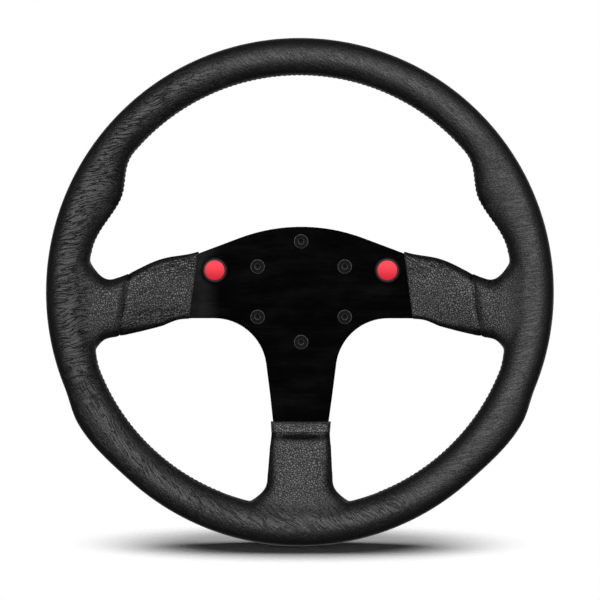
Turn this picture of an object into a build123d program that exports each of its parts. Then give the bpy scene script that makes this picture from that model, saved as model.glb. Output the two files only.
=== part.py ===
from build123d import *
import math
import os

# Frame: x to the driver's right, z up, y away from the driver. The back face of
# the spoke plate lies on y = 0, and the hub's bolt circle is centred on the y axis.

# Wheel
wheel_diameter = 350.0
dish = 34.0  # from the back of the plate forward to the middle of the rim
rim_width = 25.8  # seen from the front, round the top
lower_rim_width = 27.2  # round the lower half
lower_rim_start = -15.0  # degrees
lower_rim_blend = 6.0
rim_thickness = 30.0
rim_side_flat = 10.0  # the flat band round the inside and outside
root_width = 29.0  # where the side spokes join
thumb_rest_width = 36.2
thumb_rest_top = 40.0  # degrees above the wheel's horizontal line
thumb_rest_peak = 27.0
thumb_rest_end = 11.0
palm_swell = 2.9
palm_swell_top = -22.0
palm_swell_peak = -31.0
palm_swell_end = -48.0
leather_thickness = 1.1
lining_corner_share = 0.72  # bevel of the foam's corners, from the leather's rounding
lining_corner_less = 1.6

# Metal frame
plate_thickness = 4.0
plate_edge_bevel = 0.7
hub_top = 45.2  # height of the plate's top edge above the bolt circle's centre
hub_top_radius = 122.0
shoulder_angle = 20.6  # fall of the side spokes' top edge
side_spoke_under = -18.5  # height of the side spokes' lower edge
side_spoke_knee = 92.0
side_spoke_tip_under = -26.5
throat_radius = 36.5  # the curve between a side spoke and the lower one
waist_half = 24.0  # half the lower spoke's width, where that curve ends
lower_spoke_taper = 9.7  # degrees on each side
lower_spoke_neck = 97.0  # how far down the taper ends
bend_start = 72.0  # where each spoke turns towards the driver
bend_radius = 6.0
ring_inset = 13.0  # from the rim's outside to the middle of the ring
ring_width = 14.0
ring_thickness = 5.0
ring_seat = 28.5  # the back of the spokes' tips, in front of the plate's back
tip_clearance = 2.0
tip_flat = 7.0  # of each spoke's tip, inside the ring
rivet_diameter = 5.0  # set flush on both faces
rivet_spacing = 10.0

# Hub screws, countersunk, with a hexagon socket
bolt_circle = 70.0
bolt_count = 6
screw_diameter = 5.0
screw_neck_diameter = 4.5  # bare, from the head to the back of the plate
screw_length = 16.0
screw_head_diameter = 10.0
screw_head_angle = 90.0
screw_socket = 3.0
screw_socket_depth = 1.8
screw_hole_clearance = 0.15
screw_head_sink = 0.3

# Spoke covers
side_cover_mouth = 74.5  # how far out the side covers begin
side_cover_tilt = 7.5  # lean of their cut edge, in degrees
side_seam_inset = 53.7  # from the rim's outside to the seam on a side spoke
seam_gap = 0.3
lower_cover_mouth = 90.0
cover_root_inset = 19.0  # from the rim's outside to where the covers end, inside it
# Padding beside the metal, then how far it flares into the rim and over what length
side_cover_above = (3.2, 25.0, 17.0)
side_cover_below = (7.5, 22.0, 17.0)
lower_cover_beside = (4.8, 24.0, 20.0)
cover_front_growth = 11.4
cover_back_growth = 10.1
cover_edge_round = 3.0
foam_start = 0.12  # share of a cover's length with no foam under it
cover_gap = 0.3  # between a cover's mouth and the metal
hem_height = 7.5
hem_rise = 0.7

# Push buttons
button_offset = (60.0, 14.9)
button_travel = 1.8
cap_diameter = 13.7
cap_dome = 1.1
cap_stand = 1.6  # how far the cap's rim stands in front of its ring
cap_shoulder = 0.45
cap_wall = 1.5
skirt_gap = 0.2  # left above the spring when the cap is pressed
plunger_diameter = 3.0
flange_diameter = 18.5
flange_thickness = 2.0
flange_bevel = 0.8
trim_ring_diameter = 16.1
trim_ring_thickness = 1.3
trim_ring_sink = 1.2
barrel_diameter = 16.4
barrel_length = 14.0
running_gap = 0.1
fixed_gap = 0.05
button_hole_gap = 0.1
gasket_thickness = 0.5
gasket_inset = 0.25
washer_diameter = 19.5
washer_thickness = 0.8
nut_flats = 19.0
nut_thickness = 3.0
base_thickness = 4.5
base_ledge = 0.15
terminal_width = 4.8
terminal_thickness = 0.8
terminal_spacing = 5.8
terminal_reach = 7.5
terminal_rise = 1.7
terminal_hole = 1.8
terminal_hole_reach = 4.5
terminal_tip_bevel = 0.95
spring_height = 4.0
spring_thickness = 0.3
spring_foot = 0.36
spring_width = 4.0
spring_span = 12.6

rim_outer = wheel_diameter / 2
ring_radius = rim_outer - ring_inset
side_cover_seam = rim_outer - side_seam_inset
cover_root = rim_outer - cover_root_inset
throat_centre = (waist_half + throat_radius, side_spoke_under - throat_radius)
ramp_end = ring_radius - ring_width / 2 - tip_flat
ramp_slope = ring_seat / (ramp_end - bend_start)
sides = {"left": -1, "right": 1}


def ease(share):
    """A soft step from 0 to 1."""
    held = min(max(share, 0.0), 1.0)
    return (1 - math.cos(math.pi * held)) / 2


def hump(angle, low, peak, high):
    """A soft swelling along the rim, 1 at its peak and 0 outside."""
    if angle < peak:
        return ease((angle - low) / (peak - low))
    return ease((high - angle) / (high - peak))


def rim_edges(angle):
    """The rim's inner and outer radius at an angle above the horizontal."""
    if angle < thumb_rest_end:
        lower = ease((lower_rim_start - angle) / lower_rim_blend)
        width = root_width + (lower_rim_width - root_width) * lower
    else:
        plain = root_width if angle < thumb_rest_peak else rim_width
        rise = hump(angle, thumb_rest_end, thumb_rest_peak, thumb_rest_top)
        width = plain + (thumb_rest_width - plain) * rise
    swell = palm_swell * hump(angle, palm_swell_end, palm_swell_peak, palm_swell_top)
    return rim_outer - width, rim_outer + swell


def soft_section(plane, width, depth, lining):
    """A padded section, rounded outside and with flat corners under the leather."""
    corner = max(cover_edge_round, (depth - rim_side_flat) / 2)
    with BuildSketch(plane) as section:
        if lining:
            Rectangle(width - 2 * leather_thickness, depth - 2 * leather_thickness)
            chamfer(section.vertices(), lining_corner_share * corner - lining_corner_less)
        else:
            RectangleRounded(width, depth, corner)
    return section.sketch


def rim_form(lining=False):
    """The whole padded ring, or the form that its leather is stretched over."""
    sections = []
    for angle in sorted({*range(-90, 91, 6), thumb_rest_peak, thumb_rest_peak + 6}):
        inner, outer = rim_edges(angle)
        turn = math.radians(angle)
        outwards = Vector(math.cos(turn), 0, math.sin(turn))
        along = Vector(-math.sin(turn), 0, math.cos(turn))
        middle = outwards * ((inner + outer) / 2) + Vector(0, -dish, 0)
        plane = Plane(middle, x_dir=outwards, z_dir=along)
        sections.append(soft_section(plane, outer - inner, rim_thickness, lining))
    with BuildPart() as ring:
        loft(sections, ruled=True)
        mirror(about=Plane.YZ)
    return ring.part


def shoulder(out):
    """Height of a side spoke's top edge."""
    turn = math.radians(shoulder_angle)
    crest = hub_top - hub_top_radius * (1 - math.cos(turn))
    return crest - (out - hub_top_radius * math.sin(turn)) * math.tan(turn)


def side_under(out):
    """Height of a side spoke's lower edge."""
    run = max(0.0, out - side_spoke_knee) / (ring_radius - side_spoke_knee)
    return side_spoke_under + (side_spoke_tip_under - side_spoke_under) * run


def lower_half(out):
    """Half the lower spoke's width at a distance down."""
    turn = math.radians(lower_spoke_taper)
    start = throat_centre[0] - throat_radius * math.cos(turn)
    level = throat_radius * math.sin(turn) - throat_centre[1]
    return start - (min(out, lower_spoke_neck) - level) * math.tan(turn)


def padding(out, share, start, growth, flare, flare_run):
    """Cover beside the metal: a quick start, then a flare into the rim."""
    late = (out - ramp_end + flare_run) / flare_run
    spread = flare * min(max(late, 0.0), 1.0) ** 2
    return start + growth * (1 - (1 - share) ** 2) + spread


def cover_form(spoke, shares, rise=0.0, lining=False):
    """A spoke's padded cover, lofted outwards along x from its mouth to the rim."""
    mouth, tilt, top_edge, under_edge, growths = spoke
    start = cover_gap + leather_thickness + rise
    metal = plate_thickness * math.hypot(1, ramp_slope)
    sections = []
    for share in shares:
        out = mouth + (cover_root - mouth) * share
        lean = math.radians(tilt) * (1 - share)
        shift = math.tan(lean) * (top_edge(out) - under_edge(out)) / 2
        top = top_edge(out - shift) + padding(out, share, start, *growths[0])
        under = under_edge(out + shift) - padding(out, share, start, *growths[1])
        ramp = (out - bend_start) * ramp_slope
        back = start + cover_back_growth * share**2 - ramp
        front = -metal - start - cover_front_growth * share**2 - ramp
        middle = (out, (back + front) / 2, (top + under) / 2)
        up = (-math.sin(lean), ramp_slope * math.sin(lean), math.cos(lean))
        plane = Plane(middle, x_dir=up, z_dir=(math.cos(lean), 0, math.sin(lean)))
        width = (top - under) / math.cos(lean)
        sections.append(soft_section(plane, width, back - front, lining))
    with BuildPart() as cover:
        loft(sections, ruled=True)
    return cover.part


# Each spoke's cover: mouth, lean, the metal's edges, and how its padding grows
cover_shares = (0.0, foam_start, 0.3, 0.5, 0.65, 0.78, 0.88, 1.0)
side_spoke = (
    side_cover_mouth,
    side_cover_tilt,
    shoulder,
    side_under,
    (side_cover_above, side_cover_below),
)
lower_spoke = (
    lower_cover_mouth,
    0.0,
    lower_half,
    lambda out: -lower_half(out),
    (lower_cover_beside, lower_cover_beside),
)
downwards = Rotation(0, 90, 0)


def lining_form(shares=cover_shares):
    """The three covers' linings, which the leather is stretched over."""
    side = cover_form(side_spoke, shares, lining=True)
    lower = cover_form(lower_spoke, shares, lining=True)
    with BuildPart() as lining:
        add(side)
        mirror(side, about=Plane.YZ)
        add(downwards * lower)
    return lining.part


def cover_window(gap=0.0):
    """The space round a side spoke from its cover's mouth to the seam."""
    lean = math.radians(side_cover_tilt)
    place = Plane(
        (side_cover_seam - gap, -dish / 2, 0),
        x_dir=(math.cos(lean), 0, math.sin(lean)),
        z_dir=(-math.sin(lean), 0, math.cos(lean)),
    )
    with BuildPart(place) as window:
        Box(side_cover_seam, 2 * dish, 2 * hub_top, align=(Align.MAX, Align.CENTER, Align.CENTER))
    return window.part


def at_button(side, level):
    """The plane across a button's axis, facing away from the driver."""
    place = (side * button_offset[0], level, button_offset[1])
    return Plane(place, x_dir=(1, 0, 0), z_dir=(0, 1, 0))


def button_profile(side):
    """The plane through a button's axis: radius across, y up."""
    place = (side * button_offset[0], 0, button_offset[1])
    return Plane(place, x_dir=(1, 0, 0), z_dir=(0, 0, 1))


def button_axis(side):
    return Axis((side * button_offset[0], 0, button_offset[1]), (0, 1, 0))


# Levels along a button's axis
gasket_front = -plate_thickness - gasket_thickness
flange_front = gasket_front - flange_thickness
ring_back = flange_front + trim_ring_sink
ring_front = ring_back - trim_ring_thickness
cap_rim = ring_front - cap_stand
barrel_end = gasket_front + barrel_length
base_front = barrel_end - base_thickness
plunger_end = base_front - spring_height
skirt_end = plunger_end - button_travel - skirt_gap
cap_radius = cap_diameter / 2
barrel_radius = barrel_diameter / 2
bore_radius = cap_radius + cap_shoulder + running_gap
ledge_radius = bore_radius + base_ledge

# The spoke plate's outline, seen from the front
tip_limit = ring_radius + ring_width / 2 - tip_clearance
neck = (lower_half(lower_spoke_neck), -lower_spoke_neck)
with BuildSketch(Plane.XZ) as plan:
    with BuildLine():
        crown_centre = (0, hub_top - hub_top_radius)
        crown = CenterArc(crown_centre, hub_top_radius, 90, -shoulder_angle)
        side_top = Line(crown @ 1, (rim_outer, shoulder(rim_outer)))
        side_end = Line(side_top @ 1, (rim_outer, side_spoke_tip_under))
        tip_under = Line(side_end @ 1, (ring_radius, side_spoke_tip_under))
        fall = Line(tip_under @ 1, (side_spoke_knee, side_spoke_under))
        Line(fall @ 1, (throat_centre[0], side_spoke_under))
        throat = CenterArc(throat_centre, throat_radius, 90, 90 - lower_spoke_taper)
        taper = Line(throat @ 1, neck)
        lower_side = Line(taper @ 1, (neck[0], -rim_outer))
        lower_end = Line(lower_side @ 1, (0, -rim_outer))
        Line(lower_end @ 1, crown @ 0)
    make_face()
    mirror(about=Plane.YZ)
    Circle(tip_limit, mode=Mode.INTERSECT)

# The sheet after bending: every spoke ramps forward and flattens at the ring
lower_plane = Plane((0, 0, 0), x_dir=(0, 0, -1), z_dir=(1, 0, 0))
with BuildPart() as bent_sheet:
    for plane in (Plane.XY, lower_plane):
        with BuildSketch(plane):
            with BuildLine():
                corners = [(0, 0), (bend_start, 0), (ramp_end, -ring_seat)]
                corners.append((rim_outer, -ring_seat))
                inside, outside = bend_radius, bend_radius + plate_thickness
                back = FilletPolyline(*corners, radius=(outside, inside))
                offset(back, amount=plate_thickness, side=Side.RIGHT)
            make_face()
        extrude(amount=bend_start - bend_radius, both=True)
    mirror(about=Plane.YZ)


def faces_driver(edge):
    """Whether an edge runs along the plate's front, outside the leather."""
    middle = edge @ 0.5
    lengthwise = abs(edge.tangent_at(0.5).Y) < 0.9
    covered = math.hypot(middle.X, middle.Z) > ramp_end - bend_radius
    ahead = middle - Vector(0, plate_edge_bevel / 10, 0)
    return lengthwise and not covered and not spoke_plate.part.is_inside(ahead)


# Rivets sit in pairs, across the middle of each spoke's tip
tip_middle = (shoulder(ring_radius) + side_under(ring_radius)) / 2
tip_angle = math.degrees(math.asin(tip_middle / ring_radius))
rivet_half = math.degrees(rivet_spacing / 2 / ring_radius)
rivet_places = []
for tip in (tip_angle, 180 - tip_angle, -90):
    for step in (-rivet_half, rivet_half):
        turn = math.radians(tip + step)
        rivet_places.append((ring_radius * math.cos(turn), ring_radius * math.sin(turn)))

front_face = Plane.XZ.offset(plate_thickness)
with BuildPart() as spoke_plate:
    extrude(plan.sketch, amount=rim_outer)
    add(bent_sheet.part, mode=Mode.INTERSECT)
    walls = spoke_plate.faces().filter_by(lambda face: abs(face.normal_at().Y) < 0.01)
    chamfer(walls.edges().filter_by(faces_driver), plate_edge_bevel)
    with Locations(front_face):
        with PolarLocations(bolt_circle / 2, bolt_count, start_angle=90):
            CounterSinkHole(
                radius=screw_diameter / 2 + screw_hole_clearance,
                counter_sink_radius=screw_head_diameter / 2 + screw_head_sink,
                depth=plate_thickness,
                counter_sink_angle=screw_head_angle,
            )
        with Locations(button_offset, (-button_offset[0], button_offset[1])):
            Hole(barrel_radius + button_hole_gap, depth=plate_thickness)
    with BuildSketch(Plane.XZ):
        with Locations(*rivet_places):
            Circle(rivet_diameter / 2)
    extrude(amount=rim_outer, mode=Mode.SUBTRACT)

# The flat metal ring inside the rim
with BuildPart() as rim_ring:
    with BuildSketch(Plane.XZ.offset(ring_seat + plate_thickness)):
        Circle(ring_radius + ring_width / 2)
        Circle(ring_radius - ring_width / 2, mode=Mode.SUBTRACT)
        with Locations(*rivet_places):
            Circle(rivet_diameter / 2, mode=Mode.SUBTRACT)
    extrude(amount=ring_thickness)

with BuildPart() as spoke_rivets:
    with BuildSketch(Plane.XZ.offset(ring_seat)):
        with Locations(*rivet_places):
            Circle(rivet_diameter / 2)
    extrude(amount=plate_thickness + ring_thickness)

# Foam moulded round the ring and the spokes' outer halves
foam_shares = cover_shares[1:]
with BuildPart() as rim_padding:
    add(rim_form(lining=True))
    add(lining_form(foam_shares))
    add(spoke_plate.part, mode=Mode.SUBTRACT)
    add(rim_ring.part, mode=Mode.SUBTRACT)
    add(spoke_rivets.part, mode=Mode.SUBTRACT)

# Leather: one piece round the rim and the lower spoke, with a folded hem
side_cover = cover_form(side_spoke, cover_shares)
hem_share = hem_height / (cover_root - lower_cover_mouth)
hem = cover_form(lower_spoke, (0.0, hem_share), rise=hem_rise)
linings = lining_form()
window = cover_window()
with BuildPart() as rim_leather:
    add(rim_form())
    add(side_cover)
    mirror(side_cover, about=Plane.YZ)
    add(downwards * cover_form(lower_spoke, cover_shares))
    add(downwards * hem)
    add(rim_form(lining=True), mode=Mode.SUBTRACT)
    add(linings, mode=Mode.SUBTRACT)
    add(window, mode=Mode.SUBTRACT)
    mirror(window, about=Plane.YZ, mode=Mode.SUBTRACT)

# Leather: a separate sleeve on each side spoke
with BuildPart() as right_spoke_leather:
    add(side_cover)
    add(linings, mode=Mode.SUBTRACT)
    add(cover_window(seam_gap), mode=Mode.INTERSECT)
with BuildPart() as left_spoke_leather:
    mirror(right_spoke_leather.part, about=Plane.YZ)

# Six countersunk screws, whose shanks stand out behind the plate
head_front = front_face.offset(-screw_head_sink)
head_overhang = (screw_head_diameter - screw_neck_diameter) / 2
head_height = head_overhang / math.tan(math.radians(screw_head_angle / 2))
thread_front = plate_thickness - screw_head_sink
below = (Align.CENTER, Align.CENTER, Align.MAX)
with BuildPart() as hub_screws:
    with Locations(head_front):
        with PolarLocations(bolt_circle / 2, bolt_count, start_angle=90):
            Cylinder(screw_neck_diameter / 2, thread_front, align=below)
            Cone(screw_neck_diameter / 2, screw_head_diameter / 2, head_height, align=below)
    with Locations(Plane.XZ):
        with PolarLocations(bolt_circle / 2, bolt_count, start_angle=90):
            Cylinder(screw_diameter / 2, screw_length - thread_front, align=below)
    with BuildSketch(head_front):
        with PolarLocations(bolt_circle / 2, bolt_count, start_angle=90):
            RegularPolygon(screw_socket / 2, 6, major_radius=False)
    extrude(amount=-screw_socket_depth, mode=Mode.SUBTRACT)


def button_cap(side):
    """The red cap: a domed head, a retaining shoulder and a plunger."""
    shoulder_radius = cap_radius + cap_shoulder
    shoulder_front = ring_back + fixed_gap
    plunger = plunger_diameter / 2
    roof = cap_rim + cap_wall
    with BuildPart() as cap:
        with BuildSketch(button_profile(side)):
            with BuildLine():
                dome = TangentArc((0, cap_rim - cap_dome), (cap_radius, cap_rim), tangent=(1, 0))
                Polyline(
                    dome @ 1,
                    (cap_radius, shoulder_front),
                    (shoulder_radius, shoulder_front),
                    (shoulder_radius, skirt_end),
                    (cap_radius - cap_wall, skirt_end),
                    (cap_radius - cap_wall, roof),
                    (plunger, roof),
                    (plunger, plunger_end),
                    (0, plunger_end),
                    dome @ 0,
                )
            make_face()
        revolve(axis=button_axis(side))
    return cap.part


def button_bezel(side):
    """The housing: a bevelled flange in front and a barrel through the plate."""
    recess = trim_ring_diameter / 2 + fixed_gap
    outer = flange_diameter / 2
    with BuildPart() as bezel:
        with BuildSketch(button_profile(side)):
            with BuildLine():
                Polyline(
                    (recess, flange_front),
                    (outer - flange_bevel, flange_front),
                    (outer, flange_front + flange_bevel),
                    (outer, gasket_front),
                    (barrel_radius, gasket_front),
                    (barrel_radius, barrel_end),
                    (ledge_radius, barrel_end),
                    (ledge_radius, base_front),
                    (bore_radius, base_front),
                    (bore_radius, ring_back),
                    (recess, ring_back),
                    close=True,
                )
            make_face()
        revolve(axis=button_axis(side))
    return bezel.part


def button_trim_ring(side):
    """The grey ring round the cap, which also holds the cap in."""
    with BuildPart() as ring:
        with BuildSketch(at_button(side, ring_front)):
            Circle(trim_ring_diameter / 2)
            Circle(cap_radius + running_gap, mode=Mode.SUBTRACT)
        extrude(amount=trim_ring_thickness)
    return ring.part


def terminal_blades(side):
    """Two blades, which rise from the base to make the contact."""
    length = barrel_end + terminal_reach - base_front + terminal_rise
    with BuildPart() as blades:
        with BuildSketch(at_button(side, base_front - terminal_rise)):
            with Locations((-terminal_spacing / 2, 0), (terminal_spacing / 2, 0)):
                Rectangle(terminal_thickness, terminal_width)
        extrude(amount=length)
        tip_edges = blades.faces().sort_by(Axis.Y)[-2:].edges().filter_by(Axis.X)
        chamfer(tip_edges, terminal_tip_bevel)
        through = (0, barrel_end + terminal_hole_reach, button_offset[1])
        with Locations(Plane(through, z_dir=(1, 0, 0))):
            Cylinder(terminal_hole / 2, 4 * button_offset[0], mode=Mode.SUBTRACT)
    return blades.part


def button_base(side):
    """The insulating base that closes the barrel and carries the blades."""
    with BuildPart() as base:
        with BuildSketch(at_button(side, base_front)):
            Circle(ledge_radius - fixed_gap)
        extrude(amount=base_thickness)
        add(terminal_blades(side), mode=Mode.SUBTRACT)
    return base.part


def contact_spring(side):
    """An arched strip that returns the cap and bridges the blades when pressed."""
    half = spring_span / 2
    inner = half - spring_foot
    with BuildPart() as spring:
        with BuildSketch(button_profile(side)):
            with BuildLine():
                front = ThreePointArc((-half, base_front), (0, plunger_end), (half, base_front))
                crown = (0, plunger_end + spring_thickness)
                back = ThreePointArc((-inner, base_front), crown, (inner, base_front))
                Line(front @ 0, back @ 0)
                Line(front @ 1, back @ 1)
            make_face()
        extrude(amount=spring_width / 2, both=True)
    return spring.part


# What repeats at both buttons shares a file
with BuildPart() as button_gaskets:
    for side in sides.values():
        with BuildSketch(at_button(side, gasket_front)):
            Circle(flange_diameter / 2 - gasket_inset)
            Circle(barrel_radius, mode=Mode.SUBTRACT)
    extrude(amount=gasket_thickness)

with BuildPart() as button_washers:
    for side in sides.values():
        with BuildSketch(at_button(side, 0)):
            Circle(washer_diameter / 2)
            Circle(barrel_radius + button_hole_gap, mode=Mode.SUBTRACT)
    extrude(amount=washer_thickness)

with BuildPart() as button_nuts:
    for side in sides.values():
        with BuildSketch(at_button(side, washer_thickness)):
            RegularPolygon(nut_flats / 2, 6, major_radius=False, rotation=30)
            Circle(barrel_radius + fixed_gap, mode=Mode.SUBTRACT)
    extrude(amount=nut_thickness)

pieces = {
    "spoke_plate": spoke_plate.part,
    "rim_ring": rim_ring.part,
    "spoke_rivets": spoke_rivets.part,
    "rim_padding": rim_padding.part,
    "rim_leather": rim_leather.part,
    "left_spoke_leather": left_spoke_leather.part,
    "right_spoke_leather": right_spoke_leather.part,
    "hub_screws": hub_screws.part,
    "button_gaskets": button_gaskets.part,
    "button_washers": button_washers.part,
    "button_nuts": button_nuts.part,
}
for name, side in sides.items():
    pieces[f"{name}_button_cap"] = button_cap(side)
    pieces[f"{name}_button_bezel"] = button_bezel(side)
    pieces[f"{name}_button_trim_ring"] = button_trim_ring(side)
    pieces[f"{name}_button_base"] = button_base(side)
    pieces[f"{name}_button_terminals"] = terminal_blades(side)
    pieces[f"{name}_contact_spring"] = contact_spring(side)

os.makedirs("parts", exist_ok=True)
for name, piece in pieces.items():
    piece.label = name
    export_step(piece, f"parts/{name}.step")
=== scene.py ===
# %% [markdown]
# # A leather sports steering wheel
# A sports wheel is a flat metal plate with three spokes, a metal ring riveted to their tips, foam
# moulded round the ring, and leather pulled tight over the foam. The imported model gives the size
# and place of all of it. This lesson makes what the eye meets: the leather, its seams and stitches,
# the black plate, the screws and the two push buttons.

# %% Load the frame
import math

import bmesh
import bpy
import numpy as np
from mathutils import Matrix, Vector


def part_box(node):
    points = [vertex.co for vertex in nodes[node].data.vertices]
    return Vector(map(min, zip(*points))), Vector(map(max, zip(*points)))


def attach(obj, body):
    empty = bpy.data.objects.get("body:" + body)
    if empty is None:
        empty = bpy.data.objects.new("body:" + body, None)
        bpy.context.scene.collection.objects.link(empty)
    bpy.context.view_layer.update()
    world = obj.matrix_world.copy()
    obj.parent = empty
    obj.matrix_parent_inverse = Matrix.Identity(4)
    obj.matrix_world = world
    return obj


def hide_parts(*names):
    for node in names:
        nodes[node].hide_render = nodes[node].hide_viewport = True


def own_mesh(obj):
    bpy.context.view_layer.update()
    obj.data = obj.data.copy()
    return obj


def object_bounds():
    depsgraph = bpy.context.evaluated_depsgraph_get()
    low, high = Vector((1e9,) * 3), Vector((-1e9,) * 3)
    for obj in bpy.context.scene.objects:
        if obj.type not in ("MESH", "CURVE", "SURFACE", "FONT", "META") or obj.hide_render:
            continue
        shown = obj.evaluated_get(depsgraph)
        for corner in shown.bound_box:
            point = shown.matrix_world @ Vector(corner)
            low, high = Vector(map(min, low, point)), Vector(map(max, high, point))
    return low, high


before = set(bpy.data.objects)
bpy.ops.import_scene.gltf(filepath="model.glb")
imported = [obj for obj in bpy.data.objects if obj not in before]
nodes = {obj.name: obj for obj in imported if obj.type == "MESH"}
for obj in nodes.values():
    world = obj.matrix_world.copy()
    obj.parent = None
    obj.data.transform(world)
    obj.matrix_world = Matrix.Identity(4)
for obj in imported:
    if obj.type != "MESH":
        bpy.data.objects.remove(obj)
cad_low, cad_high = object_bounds()

# %% [markdown]
# ## Sizes
# Everything that can be read from the frame is read from it. The rest is how the leather lies
# over the foam, in millimetres, which `mm` turns into Blender's metres. The wheel faces -Y.

# %% Sizes from the frame, and how the leather lies
mm = 0.001
rim_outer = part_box("rim_leather")[1].z
screw_low, screw_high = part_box("hub_screws")
dish = 34.0 * mm
rim_depth = 30.0 * mm
rim_widths = {"upper": 25.8 * mm, "lower": 27.2 * mm, "root": 29.0 * mm, "thumb": 36.2 * mm}
palm_swell = 2.9 * mm
print("rim radius", round(rim_outer, 4), "rim depth", round(rim_depth, 4))

# %% [markdown]
# ## The rim's section
# Seen in section the grip is an oval whose crest faces the driver. At a thumb rest only its inner
# half grows, so the front slopes away from the crest towards the hole. Writing the inner and outer
# radius as functions of the angle lets one sweep make the whole rim.

# %% The rim's inner and outer radius round the wheel
# All in degrees above the horizontal: where each zone starts, peaks and ends
root_bottom, root_top, zone_blend = -15, 30, 6
thumb_zone, palm_zone = (11, 27, 40), (-48, -31, -22)


def ease(share):
    """A soft step from 0 to 1."""
    return (1 - np.cos(np.pi * np.clip(share, 0, 1))) / 2


def hump(angle, low, peak, high):
    """A soft swelling that is 1 at its peak and 0 outside low and high."""
    rising = ease((angle - low) / (peak - low))
    falling = ease((high - angle) / (high - peak))
    return np.where(angle < peak, rising, falling)


def rim_radii(lift):
    """Inner and outer radius where the rim is `lift` degrees above the horizontal."""
    lower = ease((root_bottom - lift) / zone_blend)
    root_share = ease((root_top - lift) / zone_blend)
    plain = rim_widths["upper"] + (rim_widths["root"] - rim_widths["upper"]) * root_share
    width = plain + (rim_widths["lower"] - plain) * lower
    width = width + (rim_widths["thumb"] - width) * hump(lift, *thumb_zone)
    return rim_outer - width, rim_outer + palm_swell * hump(lift, *palm_zone)


def lift_of(x, z):
    """Degrees above the horizontal, the same on the left and the right."""
    return np.degrees(np.arctan2(z, np.abs(x)))


print("rim at a thumb rest", [round(float(radius), 4) for radius in rim_radii(thumb_zone[1])])

# %% [markdown]
# ## Building meshes from rings of points
# A spoke's cover, a hem and a screw are all rings of points joined by quads, with a cap at both
# ends. One helper joins any number of rings.

# %% Helpers that make meshes


def new_object(name, data):
    """A new object at the origin of the scene."""
    thing = bpy.data.objects.new(name, data)
    bpy.context.scene.collection.objects.link(thing)
    return thing


def face_outwards(piece):
    """Turns every face of a closed mesh outwards."""
    shape = bmesh.new()
    shape.from_mesh(piece.data)
    bmesh.ops.recalc_face_normals(shape, faces=shape.faces)
    shape.to_mesh(piece.data)
    shape.free()


def make_piece(name, points, faces):
    """A new smooth-shaded mesh object from points in metres."""
    mesh = bpy.data.meshes.new(name)
    mesh.from_pydata([tuple(p) for p in points], [], faces)
    mesh.validate()
    piece = new_object(name, mesh)
    face_outwards(piece)
    piece.data.shade_smooth()
    return piece


def make_path(name, points, edges):
    """A new object of points and edges, for a node tree to follow."""
    mesh = bpy.data.meshes.new(name)
    mesh.from_pydata(points, edges, [])
    return new_object(name, mesh)


def mark(piece, name, values):
    """Writes one value on every point of a mesh."""
    layer = piece.data.attributes.new(name, "FLOAT", "POINT")
    layer.data.foreach_set("value", values.astype(np.float32))


def wear(piece, material):
    """Gives a piece one material."""
    piece.data.materials.clear()
    piece.data.materials.append(material)


def ring_faces(rings, around):
    """Quads between rings of points, and a cap on the first and the last ring."""
    faces = []
    for i in range(rings - 1):
        for j in range(around):
            a, b, k = i * around, (i + 1) * around, (j + 1) % around
            faces.append((a + j, a + k, b + k, b + j))
    faces.append(tuple(range(around)))
    faces.append(tuple((rings - 1) * around + j for j in range(around)))
    return faces


def loft(name, rings, placed=np.array):
    """A closed piece through rings of points in millimetres, which `placed` may turn or bend."""
    points = placed(np.concatenate(rings) * mm)
    return make_piece(name, points, ring_faces(len(rings), len(rings[0])))


def rounded_section(width, depth, corner, arc=10, flat=24):
    """Points round a rectangle with round corners, centred on zero, as many for any size."""
    corner = min(corner, width / 2 - 1e-5, depth / 2 - 1e-5)
    reach = np.array([width / 2 - corner, depth / 2 - corner])
    centres = reach * np.array([[1, 1], [-1, 1], [-1, -1], [1, -1]])
    points = []
    for quarter in range(4):
        for step in range(arc + 1):
            turn = (quarter + step / arc) * math.pi / 2
            spoke = corner * np.array([math.cos(turn), math.sin(turn)])
            points.append(centres[quarter] + spoke)
        begin, end = centres[quarter] + spoke, centres[(quarter + 1) % 4] + spoke
        for step in range(1, flat):
            points.append(begin + (end - begin) * step / flat)
    return np.array(points)


# %% [markdown]
# ## Graphs of nodes
# Materials and Geometry Nodes are both small graphs. A few helpers keep them short to write: one
# adds a node and fills its inputs, one starts a material with its shader, and one starts a tree
# whose sizes have names. Numbers that hold all over a piece are set on the shader's own sockets.

# %% Helpers for any graph


def add_node(tree, kind, inputs=(), **settings):
    """Adds a node, sets its options, and fills inputs with values or other nodes' outputs."""
    node = tree.nodes.new(kind)
    for key, value in settings.items():
        setattr(node, key, value)
    for key, value in dict(inputs).items():
        if isinstance(value, bpy.types.NodeSocket):
            tree.links.new(value, node.inputs[key])
        else:
            node.inputs[key].default_value = value
    return node


def maths(tree, operation, *values):
    """The output of a Math node."""
    return add_node(tree, "ShaderNodeMath", dict(enumerate(values)), operation=operation).outputs[0]


def vector_maths(tree, operation, *values, **more):
    """The output of a Vector Math node."""
    inputs = {**dict(enumerate(values)), **more}
    node = add_node(tree, "ShaderNodeVectorMath", inputs, operation=operation)
    return node.outputs["Value" if operation == "LENGTH" else "Vector"]


# %% Helpers for materials


def new_material(name, **sockets):
    """A material with a Principled shader whose sockets are set by name."""
    material = bpy.data.materials.new(name)
    material.use_nodes = True
    tree = material.node_tree
    shader = tree.nodes["Principled BSDF"]
    for key, value in sockets.items():
        shader.inputs[key.replace("_", " ")].default_value = value
    return material, tree, shader


def object_place(tree):
    """Where on the wheel a point lies, in metres."""
    return add_node(tree, "ShaderNodeTexCoord").outputs["Object"]


def noise(tree, place, scale, detail, **more):
    """The outputs of a Noise Texture: a value and a colour."""
    inputs = {"Vector": place, "Scale": scale, "Detail": detail, **more}
    return add_node(tree, "ShaderNodeTexNoise", inputs).outputs


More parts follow.
